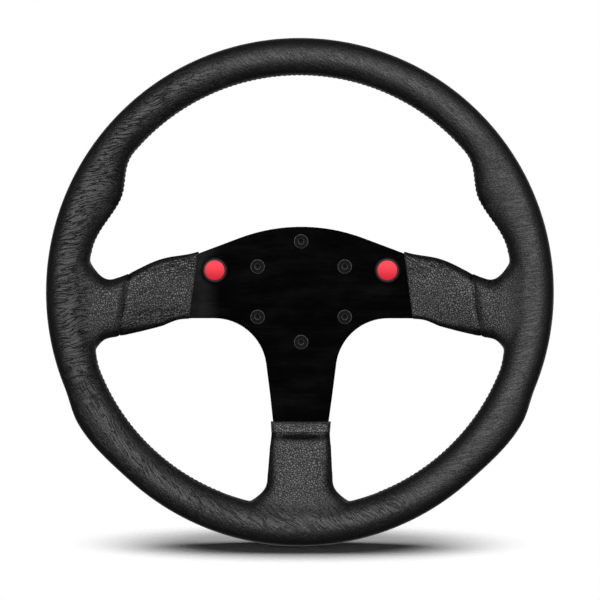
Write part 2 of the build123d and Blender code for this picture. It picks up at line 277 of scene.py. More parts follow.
def soft_range(tree, value, low, high, to_low=0.0, to_high=1.0):
    """A smooth step between two values."""
    inputs = {"Value": value, "From Min": low, "From Max": high, "To Min": to_low, "To Max": to_high}
    return add_node(tree, "ShaderNodeMapRange", inputs, interpolation_type="SMOOTHSTEP").outputs[0]


def blend_colours(tree, share, *colours):
    """A mix of two colours, fixed ones or outputs, by a share from 0 to 1."""
    fixed = [c if isinstance(c, bpy.types.NodeSocket) else (*c, 1) for c in colours]
    return add_node(tree, "ShaderNodeMix", {0: share, 6: fixed[0], 7: fixed[1]}, data_type="RGBA").outputs[2]


def relief(tree, shader, height, distance):
    """Shades a surface as if it rose and sank by up to a distance."""
    bump = add_node(tree, "ShaderNodeBump", {"Height": height, "Distance": distance, "Strength": 1.0})
    tree.links.new(bump.outputs[0], shader.inputs["Normal"])


def point_mark(tree, name):
    """A value that the mesh's points carry, as a material reads it."""
    return add_node(tree, "ShaderNodeAttribute", attribute_name=name).outputs["Fac"]


# %% Helpers that build and run Geometry Nodes


def new_tree(name, **sizes):
    """A geometry node tree with a geometry in and out and named sizes."""
    group = bpy.data.node_groups.new(name, "GeometryNodeTree")
    group.interface.new_socket("Geometry", in_out="INPUT", socket_type="NodeSocketGeometry")
    for key, kind in sizes.items():
        group.interface.new_socket(key, in_out="INPUT", socket_type=kind)
    group.interface.new_socket("Geometry", in_out="OUTPUT", socket_type="NodeSocketGeometry")
    return group, group.nodes.new("NodeGroupInput").outputs, group.nodes.new("NodeGroupOutput")


def end_tree(group, out, shape, material):
    """Ends a tree with real geometry in one material."""
    real = add_node(group, "GeometryNodeRealizeInstances", {0: shape}).outputs[0]
    painted = add_node(group, "GeometryNodeSetMaterial", {0: real, "Material": material})
    group.links.new(painted.outputs[0], out.inputs[0])
    return group


def settled(piece):
    """Replaces a piece's mesh by what its modifiers make, and drops the modifiers."""
    graph = bpy.context.evaluated_depsgraph_get()
    mesh = bpy.data.meshes.new_from_object(piece.evaluated_get(graph))
    piece.modifiers.clear()
    piece.data = mesh
    return piece


def run_tree(piece, group, **sizes):
    """Runs a tree on a piece with these sizes and keeps the plain mesh that it makes."""
    modifier = piece.modifiers.new(group.name, "NODES")
    modifier.node_group = group
    sockets = [item for item in group.interface.items_tree if item.in_out == "INPUT"]
    identifiers = {item.name: item.identifier for item in sockets}
    for key, value in sizes.items():
        modifier[identifiers[key]] = value
    return settled(piece)


def named(tree, name, kind="FLOAT"):
    """A value that the mesh's points carry, as a geometry tree reads it."""
    return add_node(tree, "GeometryNodeInputNamedAttribute", {"Name": name}, data_type=kind).outputs[0]


def stored(tree, shape, name, value):
    """A geometry whose points carry a vector under this name."""
    inputs = {"Geometry": shape, "Name": name, "Value": value}
    kind = {"data_type": "FLOAT_VECTOR", "domain": "POINT"}
    return add_node(tree, "GeometryNodeStoreNamedAttribute", inputs, **kind).outputs[0]


# %% [markdown]
# ## Leather
# The hide has three scales of relief: pebbles a millimetre and a half across, creases that all run
# one way on each part of the rim, and a fine grain. A valley is also painted darker and less glossy
# than the hide round it, a painted shade that makes a crease read as a dark line under soft light.
# Marks on the mesh's points say how pebbly, how much painted shade and how creased the hide is there,
# so one leather serves every piece.

# %% The leather's relief
crease_slopes = {"level_creases": 12.0, "steep_creases": -57.0, "slanted_creases": -40.0}
creases_per_metre = (70.0, 140.0, 720.0)
pebbles_per_metre, grains_per_metre = 610.0, 1300.0
leather, tree, shader = new_material("black_leather")
place = object_place(tree)
sway = noise(tree, place, 55.0, 1.0)["Color"]
swayed = vector_maths(tree, "MULTIPLY_ADD", sway, (7 * mm, 7 * mm, 7 * mm), place)


def crease_lines(name, slope):
    """Thin valleys that run at a slope, as deep as a mark on the points says."""
    turn = {"Vector": swayed, "Angle": math.radians(slope)}
    turned = add_node(tree, "ShaderNodeVectorRotate", turn, rotation_type="Y_AXIS").outputs[0]
    drawn = vector_maths(tree, "MULTIPLY", turned, creases_per_metre)
    wavering = noise(tree, drawn, 1.0, 1.0, Roughness=0.5, Distortion=0.3)[0]
    off_middle = maths(tree, "ABSOLUTE", maths(tree, "SUBTRACT", wavering, 0.5))
    return maths(tree, "MULTIPLY", soft_range(tree, off_middle, 0.0, 0.06, 1.0, 0.0), point_mark(tree, name))


level, steep, slanted = [crease_lines(name, slope) for name, slope in crease_slopes.items()]
creased = maths(tree, "MINIMUM", maths(tree, "ADD", maths(tree, "ADD", level, steep), slanted), 1.0)
pebbly = point_mark(tree, "pebble")
cells = {"Vector": swayed, "Scale": pebbles_per_metre}
cells = add_node(tree, "ShaderNodeTexVoronoi", cells, feature="DISTANCE_TO_EDGE").outputs["Distance"]
between = soft_range(tree, cells, 0.0, 0.24, 1.0, 0.0)
pebbled = maths(tree, "MULTIPLY", between, maths(tree, "MULTIPLY_ADD", pebbly, 0.75, 0.25))
grain = noise(tree, place, grains_per_metre, 3.0)[0]
height = maths(tree, "MULTIPLY_ADD", creased, -1.0, maths(tree, "MULTIPLY", pebbled, -0.6))
height = maths(tree, "MULTIPLY_ADD", grain, 0.35, height)
relief(tree, shader, height, 0.34 * mm)
print("leather relief nodes:", len(tree.nodes))

# %% The leather's colour and shine
# Painted shade: crease valleys, the gaps between pebbles and the points marked as shade are painted darker
# and less glossy than the hide round them.
raised = maths(tree, "MULTIPLY_ADD", creased, -0.68, 1.0)
raised = maths(tree, "MULTIPLY", raised, maths(tree, "MULTIPLY_ADD", pebbled, -0.72, 1.0))
raised = maths(tree, "MULTIPLY", raised, maths(tree, "MULTIPLY_ADD", point_mark(tree, "painted_shade"), -0.9, 1.0))
pale = soft_range(tree, pebbly, 0.0, 1.0, 0.0056, 0.0165)
hide = add_node(tree, "ShaderNodeCombineColor", {0: pale, 1: pale, 2: pale}).outputs[0]
colour = blend_colours(tree, raised, (0.0008, 0.0008, 0.0009), hide)
tree.links.new(colour, shader.inputs["Base Color"])
shine = maths(tree, "MULTIPLY", raised, soft_range(tree, grain, 0.3, 0.7, 0.46, 1.0))
shine = maths(tree, "MULTIPLY", shine, maths(tree, "MULTIPLY_ADD", pebbly, 1.25, 1.0))
tree.links.new(shine, shader.inputs["Specular IOR Level"])
tree.links.new(soft_range(tree, raised, 0.2, 1.0, 0.62, 0.44), shader.inputs["Roughness"])
print("leather nodes:", len(tree.nodes))

# %% [markdown]
# ## The covers on the spokes
# Each spoke ramps towards the driver, and its cover follows it: thin at the mouth, thicker as the
# foam grows, and flared where it runs into the rim. The metal's edges decide how wide it is. A
# section is drawn across the spoke at each distance out, and the sections are joined.

# %% The spokes' edges, in millimetres
bend_start, ramp_slope = 72.0, 28.5 / 76.0
plate_thickness = 4.0
cover_root, flare_end = 156.0, 148.0
cover_start, front_growth, back_growth = 1.4, 11.4, 10.1
corner_start, corner_growth = 4.0, 14.0
crown_start, crown_growth, crown_power = 0.8, 11.0, 2.4
seam_out, seam_lean = 121.3, math.radians(7.5)


def shoulder(out):
    """Height of a side spoke's top edge."""
    turn = math.radians(20.6)
    return 45.2 - 122.0 * (1 - math.cos(turn)) - (out - 122.0 * math.sin(turn)) * math.tan(turn)


def side_under(out):
    """Height of a side spoke's lower edge."""
    return -18.5 - 8.0 * max(0.0, out - 92.0) / 70.0


def lower_half(out):
    """Half the lower spoke's width."""
    turn = math.radians(9.7)
    start = 60.5 - 36.5 * math.cos(turn)
    return start - (min(out, 97.0) - 36.5 * math.sin(turn) - 55.0) * math.tan(turn)


# Growth of the cover beside the metal, flare at the rim, the flare's run, and a swelling with its
# height, start, peak and end
side_above = (3.2, 25.0, 17.0, (2.9, 76.0, 101.0, 127.0))
side_below = (8.6, 22.0, 17.0, (-1.9, 66.0, 82.0, 94.0))
beside = (3.5, 18.3, 17.0)
# Mouth, upper edge, lower edge, and what the cover does beside each of them
side_spoke = (74.5, shoulder, side_under, side_above, side_below)
lower_spoke = (90.0, lower_half, lambda out: -lower_half(out), beside, beside)
print("side spoke at the seam", round(shoulder(seam_out), 1), "to", round(side_under(seam_out), 1))

# %% Sections of a spoke's cover


def edge_padding(out, share, growth, flare, run, swell=(0.0, 90.0, 105.0, 120.0)):
    """How far the cover stands beside the metal, with a swelling part of the way along."""
    late = min(max((out - flare_end + run) / run, 0.0), 1.0)
    pad = cover_start + growth * (1 - (1 - share) ** 2) + flare * late**2
    return pad + swell[0] * float(hump(out, *swell[1:]))


def cover_ring(spoke, out, lean, inset=0.0, side_inset=None):
    """One section, in millimetres, of a cover that runs out along +x."""
    mouth, top_edge, under_edge, above, below = spoke
    side_inset = inset if side_inset is None else side_inset
    share = min(max((out - mouth) / (cover_root - mouth), 0.0), 1.0)
    shift = math.tan(lean) * (top_edge(out) - under_edge(out)) / 2
    top = top_edge(out - shift) + edge_padding(out, share, *above)
    under = under_edge(out + shift) - edge_padding(out, share, *below)
    ramp = (out - bend_start) * ramp_slope
    metal = plate_thickness * math.hypot(1, ramp_slope)
    back = cover_start + back_growth * share**2 - ramp
    front = -metal - cover_start - front_growth * share**2 - ramp
    depth = back - front - 2 * inset
    corner = min(corner_start + corner_growth * share, depth * 0.49)
    half = (top - under) / math.cos(lean) / 2 - side_inset
    flat = rounded_section(2 * half, depth, corner)
    crown = (1 - share) * (crown_start + crown_growth * share)
    flat[:, 1] -= crown * (1 - np.abs(flat[:, 0] / half) ** crown_power) * (flat[:, 1] < 0)
    up = np.array([-math.sin(lean), ramp_slope * math.sin(lean), math.cos(lean)])
    across = np.array([0.0, 1.0, 0.0])
    middle = np.array([out, (back + front) / 2, (top + under) / 2])
    return middle + flat[:, :1] * up + flat[:, 1:] * across


# %% [markdown]
# ## The rim's leather
# The rim follows a rule, so Geometry Nodes sweep it. A path of points carries how far the leather
# reaches inwards and outwards there, and the tree stretches a round section to fit.

# %% Sweep the rim
rim_steps, section_steps = 720, 72
crest_radius = rim_outer - rim_widths["upper"] / 2


def rim_path():
    """The circle under the rim's crest, with the leather's reach to each side of it."""
    turns = np.linspace(0, 2 * np.pi, rim_steps, endpoint=False)
    spots = [(crest_radius * math.cos(t), -dish, crest_radius * math.sin(t)) for t in turns]
    path = make_path("rim_sweep", spots, [(i, (i + 1) % rim_steps) for i in range(rim_steps)])
    radii = np.array([rim_radii(lift_of(x, z)) for x, _, z in spots])
    mark(path, "reach_in", crest_radius - radii[:, 0])
    mark(path, "reach_out", radii[:, 1] - crest_radius)
    return path


def sweep_tree(steps, finish):
    """An oval round a path, as wide to each side as the path's points say."""
    group, given, out = new_tree("rim sweep", Depth="NodeSocketFloat")
    spot = group.nodes.new("GeometryNodeInputPosition").outputs[0]
    curve = add_node(group, "GeometryNodeMeshToCurve", {"Mesh": given["Geometry"]}).outputs[0]
    curve = stored(group, curve, "centre", spot)
    oval = {"Resolution": steps, "Radius": 1.0}
    oval = add_node(group, "GeometryNodeCurvePrimitiveCircle", oval).outputs[0]
    oval = stored(group, oval, "section", spot)
    swept = add_node(group, "GeometryNodeCurveToMesh", {"Curve": curve, "Profile Curve": oval})
    centre = named(group, "centre", "FLOAT_VECTOR")
    section = named(group, "section", "FLOAT_VECTOR")
    section = add_node(group, "ShaderNodeSeparateXYZ", {0: section}).outputs
    outwards = maths(group, "MAXIMUM", section[0], 0.0)
    outwards = maths(group, "MULTIPLY", outwards, named(group, "reach_out"))
    inwards = maths(group, "MINIMUM", section[0], 0.0)
    aside = maths(group, "MULTIPLY_ADD", inwards, named(group, "reach_in"), outwards)
    back = maths(group, "MULTIPLY", section[1], maths(group, "MULTIPLY", given["Depth"], 0.5))
    heading = vector_maths(group, "MULTIPLY", centre, (1.0, 0.0, 1.0))
    heading = vector_maths(group, "NORMALIZE", heading)
    aside = vector_maths(group, "SCALE", heading, Scale=aside)
    back = add_node(group, "ShaderNodeCombineXYZ", {"Y": back}).outputs[0]
    place = vector_maths(group, "ADD", vector_maths(group, "ADD", centre, aside), back)
    moved = {"Geometry": swept.outputs[0], "Position": place}
    moved = add_node(group, "GeometryNodeSetPosition", moved).outputs[0]
    return end_tree(group, out, moved, finish)


rim_sweep = run_tree(rim_path(), sweep_tree(section_steps, leather), Depth=rim_depth)
face_outwards(rim_sweep)
print("rim sweep faces:", len(rim_sweep.data.polygons))

# %% [markdown]
# ## The stubs and the lower cover
# The rim, the stubs that meet the side spokes and the lower cover are one skin. Lofts that pass
# through each other would meet in a hard crease, so the forms are joined by a voxel remesh and then
# relaxed, which leaves the soft valleys that pulled leather makes over foam.

# %% Loft the stubs and the lower cover


def seam_roll(out):
    """How far the rim's leather rolls in where it ends at the seam."""
    return 0.35 * (1 - float(ease((out - seam_out) / 5.0)))


def turned_down(points):
    """A cover along +x, turned to run down along -z."""
    return np.stack([points[:, 2], points[:, 1], -points[:, 0]], 1)


def on_right(points):
    """Lets the seam wander a little sideways, as a hand-closed one does."""
    near = np.exp(-(((points[:, 0] / mm - seam_out) / 7.0) ** 2))
    points[:, 0] += 0.55 * mm * near * np.sin(points[:, 2] / (4.6 * mm) + 0.8)
    return points


def on_left(points):
    """The mirror image of the right side."""
    return on_right(points) * np.array([-1.0, 1.0, 1.0])


root_outs = np.linspace(seam_out + 0.3, cover_root, 30)
root_leans = [seam_lean * (1 - float(ease((out - seam_out) / 30.0))) for out in root_outs]
root_rings = [
    cover_ring(side_spoke, out, lean, seam_roll(out), -1.4 * seam_roll(out))
    for out, lean in zip(root_outs, root_leans)
]
lower_outs = np.linspace(lower_spoke[0] + 0.5, cover_root, 56)
lower_rings = [cover_ring(lower_spoke, out, 0.0) for out in lower_outs]
parts = [
    rim_sweep,
    loft("right_root", root_rings, on_right),
    loft("left_root", root_rings, on_left),
    loft("lower_cover", lower_rings, turned_down),
]
print("forms to join:", [len(part.data.vertices) for part in parts])

# %% Join them, remesh and relax
voxel_size = 1.25 * mm
relax_rounds = 14


def joined(name, pieces):
    """One object that holds the meshes of several, which are removed."""
    shape = bmesh.new()
    for piece in pieces:
        shape.from_mesh(piece.data)
    mesh = bpy.data.meshes.new(name)
    shape.to_mesh(mesh)
    shape.free()
    for piece in pieces:
        bpy.data.objects.remove(piece)
    return new_object(name, mesh)


rim_cover = joined("rim_leather_cover", parts)
remesh = rim_cover.modifiers.new("join", "REMESH")
remesh.mode = "VOXEL"
remesh.voxel_size = voxel_size
relax = rim_cover.modifiers.new("relax", "SMOOTH")
relax.factor = 0.5
relax.iterations = relax_rounds
settled(rim_cover)
rim_cover.data.shade_smooth()
print("rim leather faces:", len(rim_cover.data.polygons))

# %% [markdown]
# ## Creases and marks on the leather
# Leather pulled round a bend gathers into creases. The longest ones are pressed into the mesh, where
# the lower spoke meets the rim and along the seams. Then the marks are written on every point:
# painted shade in the deep folds and on the spokes' turned edges, pebbly near the spokes, and
# creased in one of three directions on each part of the rim.

# %% Press the long creases
creases = [
    # middle x, middle z, length, slope in degrees, width, depth
    (0.0, -99.6, 48.0, 0.0, 2.3, 2.3),
    (-14.0, -153.0, 17.0, -42.0, 0.8, 0.35),
    (-6.0, -157.0, 20.0, -40.0, 0.8, 0.4),
    (5.0, -156.5, 19.0, -43.0, 0.8, 0.36),
    (-31.0, -155.0, 14.0, -58.0, 0.8, 0.34),
    (-44.0, -152.0, 15.0, -62.0, 0.8, 0.32),
    (14.0, -160.0, 14.0, -44.0, 0.8, 0.3),
    (121.7, -9.0, 60.0, -81.0, 2.4, 0.9),
    (-121.7, -9.0, 60.0, 81.0, 2.4, 0.9),
    (-112.0, -3.0, 22.0, 32.0, 1.0, 0.4),
    (-105.0, 2.0, 18.0, 24.0, 0.9, 0.35),
]
full_shade_depth = 1.5


def vectors_of(piece, field):
    """The place ("co") or the normal ("normal") of every point of a mesh, as an array."""
    flat = np.empty(len(piece.data.vertices) * 3)
    piece.data.vertices.foreach_get(field, flat)
    return flat.reshape(-1, 3)


def press_creases(piece):
    """Pushes the listed creases into the front of the leather, and marks painted shade in the folds."""
    points, normals = vectors_of(piece, "co") / mm, vectors_of(piece, "normal")
    push = np.zeros(len(points))
    for x, z, length, slope, width, depth in creases:
        turn = math.radians(slope)
        away = points[:, [0, 2]] - np.array([x, z])
        along = away @ np.array([math.cos(turn), math.sin(turn)])
        aside = away @ np.array([-math.sin(turn), math.cos(turn)])
        fade = np.clip(1 - (2 * along / length) ** 2, 0, 1)
        push += depth * fade * np.exp(-((aside / width) ** 2))
    push *= np.clip(-normals[:, 1], 0, 1)
    on_lower = np.degrees(np.arctan2(-points[:, 2], np.abs(points[:, 0]))) > 60
    across = np.abs(np.where(on_lower, normals[:, 0], normals[:, 2]))
    on_spoke = ease((152 - np.hypot(points[:, 0], points[:, 2])) / 10)
    turned_away = 0.8 * ease((across - 0.12) / 0.5) * on_spoke
    # Painted shade: the deep folds and the spokes' edges that turn away from the front are painted darker
    # and less glossy.
    mark(piece, "painted_shade", np.clip(push / full_shade_depth + turned_away, 0, 1))
    piece.data.vertices.foreach_set("co", ((points - normals * push[:, None]) * mm).ravel())
    piece.data.update()


press_creases(rim_cover)
print("long creases:", len(creases))

# %% Mark where the rim is pebbly and how it creases
crease_zones = {
    # strength, then the first and last angle round the rim and the soft edge, in degrees
    "level_creases": [(0.95, 112, 205, 24), (0.3, 300, 400, 24), (0.3, -60, 36, 24)],
    "steep_creases": [(0.75, 200, 252, 20)],
    "slanted_creases": [(0.6, 246, 300, 20), (0.35, 30, 118, 24)],
}


def span(values, low, high, edge):
    """1 between two values and 0 outside them, with soft edges."""
    return ease((values - low) / edge + 0.5) * ease((high - values) / edge + 0.5)


def rim_marks(piece):
    """Pebbles near the spokes, and creases that run another way on each part of the rim."""
    points = vectors_of(piece, "co") / mm
    radius = np.hypot(points[:, 0], points[:, 2])
    lift = lift_of(points[:, 0], points[:, 2])
    side_root = ease((152 - radius) / 16) * (np.abs(lift) < 25)
    lower_root = ease((151 - radius) / 12) * (lift < -60)
    pebble = np.maximum(side_root, lower_root)
    mark(piece, "pebble", pebble)
    around_rim = np.degrees(np.arctan2(points[:, 2], points[:, 0])) % 360
    free = (1 - 0.85 * pebble) * ease((173.5 - radius) / 5.0)
    for name, zones in crease_zones.items():
        mark(piece, name, sum(strength * span(around_rim, *zone) for strength, *zone in zones) * free)


rim_marks(rim_cover)
print("marks:", [layer.name for layer in rim_cover.data.attributes if layer.data_type == "FLOAT"])

# %% [markdown]
# ## The sleeves on the side spokes
# A sleeve is a strip of pebbled leather glued round the spoke, cut clean at the mouth and butted
# against the rim's leather at the seam. It tucks a little way under there, so no gap shows.

# %% Loft both sleeves


def sleeve_inset(out, seam_depth):
    """The sleeve's rounded mouth, and the step down where it tucks under the rim's leather."""
    mouth = 0.35 * max(0.0, 1 - (out - side_spoke[0]) / 0.6)
    roll = seam_depth * float(ease((out - seam_out + 3.6) / 3.6)) ** 2
    tuck = 2.0 * float(ease((out - seam_out - 0.2) / 1.2))
    return mouth + roll + tuck


fine_mouth = side_spoke[0] + np.array([0.0, 0.2, 0.4, 0.6])
sleeve_outs = np.concatenate([fine_mouth, np.arange(76.0, 117.0, 1.0), np.arange(117.2, 126.0, 0.3)])
sleeve_rings = [
    cover_ring(side_spoke, out, seam_lean, sleeve_inset(out, 1.2), sleeve_inset(out, 0.3))
    for out in sleeve_outs
]
sleeves = {
    "right": loft("right_leather_sleeve", sleeve_rings, on_right),
    "left": loft("left_leather_sleeve", sleeve_rings, on_left),
}
for piece in sleeves.values():
    press_creases(piece)
    mark(piece, "pebble", np.ones(len(piece.data.vertices)))
    points = vectors_of(piece, "co") / mm
    near_top = ease((points[:, 2] - 6) / 12)
    near_foot = ease((-points[:, 2] - 4) / 12)
    mark(piece, "slanted_creases", 0.9 * near_top * (points[:, 0] > 0))
    mark(piece, "level_creases", (0.2 + 0.8 * (near_top + near_foot)) * (points[:, 0] < 0))
print("sleeve faces:", len(sleeves["right"].data.polygons))

# %% [markdown]
# ## The hem
# The lower cover's leather is folded back on itself at its mouth. The fold makes a raised band,
# with a groove below it where the foam begins to swell, pressed in with the long creases and
# darkened with painted shade.

# %% Loft the hem
hem_height, hem_rise = 7.5, 0.7


def hem_inset(share):
    """A soft fold: proud in the middle, rolled in at both edges."""
    return -hem_rise + (hem_rise + 0.45) * abs(2 * share - 1) ** 5


hem_rings = [
    cover_ring(lower_spoke, lower_spoke[0] + hem_height * share, 0.0, hem_inset(share), 0.1)
    for share in np.linspace(0, 1, 26)
]
hem = loft("lower_hem", hem_rings, turned_down)
mark(hem, "pebble", np.ones(len(hem.data.vertices)))
print("hem faces:", len(hem.data.polygons))

# %% Put the leather on
for piece in (rim_cover, hem, *sleeves.values()):
    wear(piece, leather)

# %% [markdown]
# ## Stitches
# The rim's leather is closed along the inside of the rim by a hand-sewn row of thread. Each stitch
# is the same short loop, so it is a job for Geometry Nodes: a path is cut into even steps, and two
# crossed stitches are placed at each.

# %% Thread material
thread, tree, shader = new_material("black_thread", Roughness=0.7)
twist = noise(tree, object_place(tree), 2400.0, 2.0)[0]
colour = blend_colours(tree, twist, (0.008, 0.008, 0.009), (0.03, 0.03, 0.031))
tree.links.new(colour, shader.inputs["Base Color"])
relief(tree, shader, twist, 0.1 * mm)

# %% The path of the stitches, and the tree that sews them
stitch_spans = ((11.0, 169.0), (199.0, 248.0), (292.0, 341.0))
stitch_lift = 0.15 * mm


def stitch_path():
    """Edges along the inside of the rim, between the spokes."""
    points, edges = [], []
    for first, last in stitch_spans:
        start = len(points)
        for turn in np.radians(np.arange(first, last + 0.5, 1.0)):
            radius = rim_radii(lift_of(math.cos(turn), math.sin(turn)))[0] + stitch_lift
            points.append((radius * math.cos(turn), -dish, radius * math.sin(turn)))
        edges += [(i, i + 1) for i in range(start, len(points) - 1)]
    return make_path("rim_stitches", points, edges)


def sewing_tree():
    """Two crossed stitches at even steps along a path."""
    kind = "NodeSocketFloat"
    group, given, out = new_tree("sewing", Pitch=kind, Length=kind, Thickness=kind, Slant=kind)
    curve = add_node(group, "GeometryNodeMeshToCurve", {"Mesh": given["Geometry"]}).outputs[0]
    steps = {"Curve": curve, "Length": given["Pitch"]}
    steps = add_node(group, "GeometryNodeResampleCurve", steps, mode="LENGTH").outputs[0]
    loop = {"Segments": 8, "Rings": 6, "Radius": 1.0}
    loop = add_node(group, "GeometryNodeMeshUVSphere", loop).outputs[0]
    scale = {"X": given["Thickness"], "Y": given["Thickness"], "Z": given["Length"]}
    scale = add_node(group, "ShaderNodeCombineXYZ", scale).outputs[0]
    tangent = add_node(group, "GeometryNodeInputTangent").outputs[0]
    join = group.nodes.new("GeometryNodeJoinGeometry")
    for way in (1.0, -1.0):
        slant = maths(group, "MULTIPLY", given["Slant"], way)
        lean = vector_maths(group, "SCALE", tangent, Scale=slant)
        aim = vector_maths(group, "ADD", lean, (0.0, 1.0, 0.0))
        turn = add_node(group, "FunctionNodeAlignRotationToVector", {"Vector": aim}, axis="Z")
        placed = {"Points": steps, "Instance": loop, "Rotation": turn.outputs[0], "Scale": scale}
        placed = add_node(group, "GeometryNodeInstanceOnPoints", placed)
        group.links.new(placed.outputs[0], join.inputs[0])
    return end_tree(group, out, join.outputs[0], thread)


stitches = run_tree(
    stitch_path(), sewing_tree(), Pitch=3.4 * mm, Length=2.2 * mm, Thickness=0.32 * mm, Slant=0.5
)
stitches.data.shade_smooth()
print("stitch faces:", len(stitches.data.polygons))

# %% [markdown]
# ## Hub screws
# The six screws are countersunk, with a hexagon socket, black oxide steel and a rolled thread on
# the shank behind the plate. One screw is built from rings of points: every ring has as many
# points, so a round ring joins a hexagonal one with plain quads. Geometry Nodes then sets six of
# them on the bolt circle, each turned by its own amount.

# %% One screw
screw_around = 48
head_radius, shank_radius, socket_radius = 5.0, 2.5, 1.5
screw_length, thread_pitch, thread_depth = (screw_high.y - screw_low.y) / mm, 0.8, 0.3
angles = np.linspace(0, 2 * np.pi, screw_around, endpoint=False)
hexagon = socket_radius / np.cos((angles + np.pi / 6) % (np.pi / 3) - np.pi / 6)
circle = np.ones(screw_around)


def screw_rings():
    """Radius, depth and paleness of each ring from the socket's floor to the screw's tip."""
    rings = [(hexagon * 0.02, 2.25, 0), (hexagon * 0.98, 1.8, 0), (hexagon, 1.7, 0), (hexagon, 0.3, 0)]
    rings += [(hexagon * 1.04, 0.24, 1), (circle * 1.95, 0.03, 1), (circle * 2.05, 0.0, 0.5)]
    rings += [(circle * 2.2, 0.0, 0), (circle * 4.45, 0.0, 0), (circle * 4.6, 0.01, 0.6)]
    rings += [(circle * 4.9, 0.1, 1), (circle * head_radius, 0.25, 0.5), (circle * 2.7, 2.45, 0)]
    rings += [(circle * 2.5, 2.7, 0)]
    for depth in np.arange(3.0, screw_length - 0.6, thread_pitch / 4):
        phase = (depth / thread_pitch - angles / (2 * np.pi)) % 1
        rings.append((shank_radius - thread_depth * np.abs(2 * phase - 1), depth, 0.3))
    return rings + [(circle * 2.1, screw_length - 0.5, 0), (circle * 1.7, screw_length, 0)]


def ring_at(radius, depth):
    """One ring of a screw whose head faces -Y."""
    return np.stack([radius * np.cos(angles), np.full(screw_around, depth), radius * np.sin(angles)], 1)


profile = screw_rings()
one_screw = loft("one_screw", [ring_at(radius, depth) for radius, depth, _ in profile])
mark(one_screw, "paleness", np.repeat([paleness for _, _, paleness in profile], screw_around))
one_screw.data.set_sharp_from_angle(angle=math.radians(35))
print("rings in a screw:", len(profile))

# %% Black oxide steel, paler and glossier on the marked rings
steel, tree, shader = new_material("black_steel")
patina = noise(tree, object_place(tree), 900.0, 4.0)[0]
# The marked rings, chiefly the socket's lip and the head's rim, are made paler and glossier.
bare = maths(tree, "MULTIPLY", point_mark(tree, "paleness"), soft_range(tree, patina, 0.35, 0.65, 0.5, 1.0))
colour = blend_colours(tree, bare, (0.0016, 0.0016, 0.0018), (0.012, 0.012, 0.0125))
tree.links.new(colour, shader.inputs["Base Color"])
tree.links.new(soft_range(tree, bare, 0.0, 1.0, 0.06, 0.93), shader.inputs["Specular IOR Level"])
tree.links.new(soft_range(tree, patina, 0.3, 0.7, 0.36, 0.5), shader.inputs["Roughness"])

# %% Six screws on their circle


def bolting_tree(fastener, finish):
    """Copies of a fastener on a circle that faces -Y, each turned by its own amount."""
    kind = "NodeSocketFloat"
    group, given, out = new_tree("bolting", Count="NodeSocketInt", Radius=kind, Start=kind)
    ring = {"Vertices": given["Count"], "Radius": given["Radius"]}
    ring = add_node(group, "GeometryNodeMeshCircle", ring).outputs[0]
    first = add_node(group, "ShaderNodeCombineXYZ", {"Z": given["Start"]}).outputs[0]
    for rotation in (first, (math.pi / 2, 0.0, 0.0)):
        turned = {"Geometry": ring, "Rotation": rotation}
        ring = add_node(group, "GeometryNodeTransform", turned).outputs[0]
    shape = add_node(group, "GeometryNodeObjectInfo", {"Object": fastener}).outputs["Geometry"]
    spin = {"Max": math.pi / 3, "Seed": 4}
    spin = add_node(group, "FunctionNodeRandomValue", spin, data_type="FLOAT").outputs[1]
    turn = add_node(group, "ShaderNodeCombineXYZ", {"Y": spin}).outputs[0]
    placed = {"Points": ring, "Instance": shape, "Rotation": turn}
    placed = add_node(group, "GeometryNodeInstanceOnPoints", placed).outputs[0]
    return end_tree(group, out, placed, finish)


bolt_radius = (screw_high.z - screw_low.z) / 2 - head_radius * mm
screws = make_piece("hub_socket_screws", [], [])
run_tree(screws, bolting_tree(one_screw, steel), Count=6, Radius=bolt_radius, Start=math.pi / 6)
screws.data.transform(Matrix.Translation((0, screw_low.y, 0)))
bpy.data.objects.remove(one_screw)
print("screw faces:", len(screws.data.polygons), "bolt circle radius", round(bolt_radius, 4))

# %% [markdown]
# ## The plate and the small parts
# These nodes already have the right shape. Their triangles are loose, so a Weld modifier joins
# them and a Bevel modifier takes the knife edge off, which is what lets a black part catch light.
# The plate's gloss is smeared by wiping cloths, and on the left a painted sheen stands for the bend
# catching light. The caps have a painted highlight: their red is paler towards the top, as under a
# high lamp.

# %% Finishes with a little wander in them


def plain_finish(name, dark, light, scale, **sockets):
    """A finish whose colour and gloss wander a little between two tones."""
    material, tree, shader = new_material(name, **sockets)
    cloud = noise(tree, object_place(tree), scale, 5.0)[0]
    tree.links.new(blend_colours(tree, cloud, dark, light), shader.inputs["Base Color"])
    relief(tree, shader, cloud, 0.02 * mm)
    return material


moulded = plain_finish(
    "black_moulding",
    (0.003, 0.003, 0.0033),
    (0.006, 0.006, 0.0064),
    700.0,
    Roughness=0.5,
    Specular_IOR_Level=0.087,
)
grey_ring = plain_finish(
    "grey_ring",
    (0.009, 0.009, 0.0095),
    (0.015, 0.015, 0.0155),
    700.0,
    Roughness=0.4,
    Specular_IOR_Level=0.27,
)
aluminium = plain_finish("bare_aluminium", (0.6, 0.6, 0.62), (0.75, 0.75, 0.77), 200.0, Metallic=1.0)
rubber = plain_finish("gasket_rubber", (0.01, 0.01, 0.01), (0.02, 0.02, 0.02), 900.0, Roughness=0.8)
metal = {"Metallic": 1.0, "Roughness": 0.35}
zinc = plain_finish("zinc_steel", (0.42, 0.42, 0.44), (0.58, 0.58, 0.6), 500.0, **metal)
metal = {"Metallic": 1.0, "Roughness": 0.3}
brass = plain_finish("contact_brass", (0.6, 0.42, 0.16), (0.72, 0.53, 0.24), 400.0, **metal)

